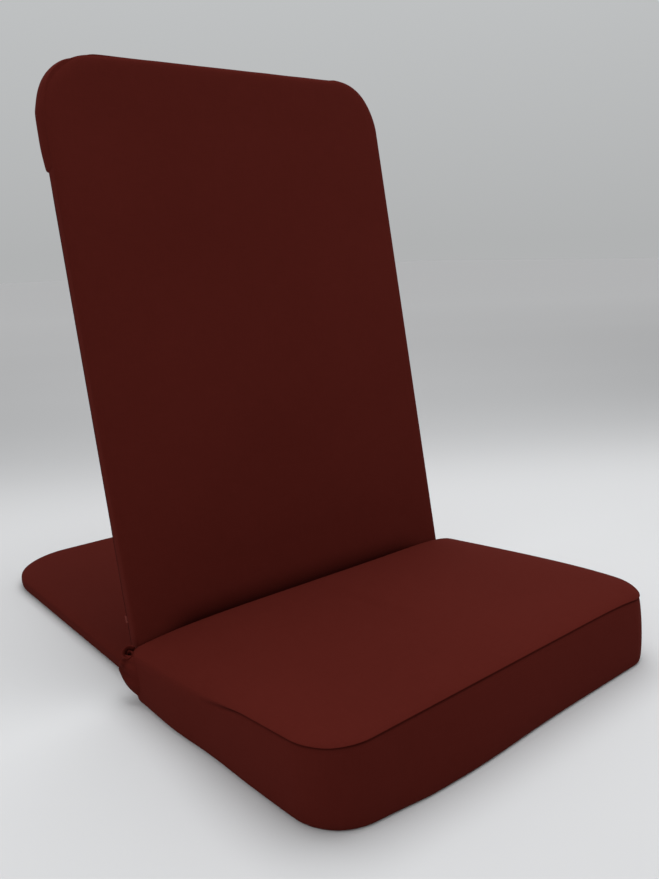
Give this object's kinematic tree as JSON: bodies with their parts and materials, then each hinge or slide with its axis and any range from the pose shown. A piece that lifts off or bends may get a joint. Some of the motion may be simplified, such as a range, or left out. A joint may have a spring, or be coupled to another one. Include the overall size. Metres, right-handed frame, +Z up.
{
  "type": "folding floor chair",
  "caption": "Legless folding floor chair: tall flat padded backrest hinged at floor level to a flat base panel behind it, with a thick wedge seat cushion in front, all in dark maroon cloth.",
  "frame": {"origin": "on the floor, under the middle of the chair's length and width", "axes": "+Z up; -Y is the way the sitter faces, so the seat is at -Y and the base panel at +Y; +X to the sitter's left"},
  "size_m": [0.468, 0.746, 0.6396],
  "materials": {
    "maroon_fabric": "matt plain-weave upholstery cloth",
    "webbing": "matt woven strap",
    "foam": "matt open-cell foam",
    "frame_steel": "satin powder coat",
    "rivet_steel": "zinc plated",
    "black_nylon": "matt moulded"
  },
  "bodies": {
    "base": {"base_frame": "frame_steel", "base_cross_tube": "frame_steel", "hinge_lugs": "frame_steel", "pivot_rivets": "rivet_steel", "pivot_washers": "black_nylon", "base_end_plugs": "black_nylon", "base_pad": "foam", "seat_foam": "foam", "seat_tethers": "webbing", "base_bottom_panel": "maroon_fabric", "base_top_panel": "maroon_fabric", "base_gusset": "maroon_fabric", "base_hem_strip": "maroon_fabric", "seat_top_panel": "maroon_fabric", "seat_side_band": "maroon_fabric", "seat_bottom_panel": "maroon_fabric"},
    "backrest": {"back_frame": "frame_steel", "back_low_bar": "frame_steel", "back_mid_bar": "frame_steel", "back_leg_plugs": "black_nylon", "back_pad": "foam", "back_front_panel": "maroon_fabric", "back_rear_panel": "maroon_fabric", "back_gusset": "maroon_fabric", "back_hem_strip": "maroon_fabric", "back_hood": "maroon_fabric", "stop_pins": "rivet_steel"}
  },
  "joints": [
    {"name": "backrest_fold", "type": "hinge", "parent": "base", "child": "backrest", "pos_m": [0, -0.057, 0.06], "axis": [1, 0, 0], "range_deg": [0, 91]}
  ]
}
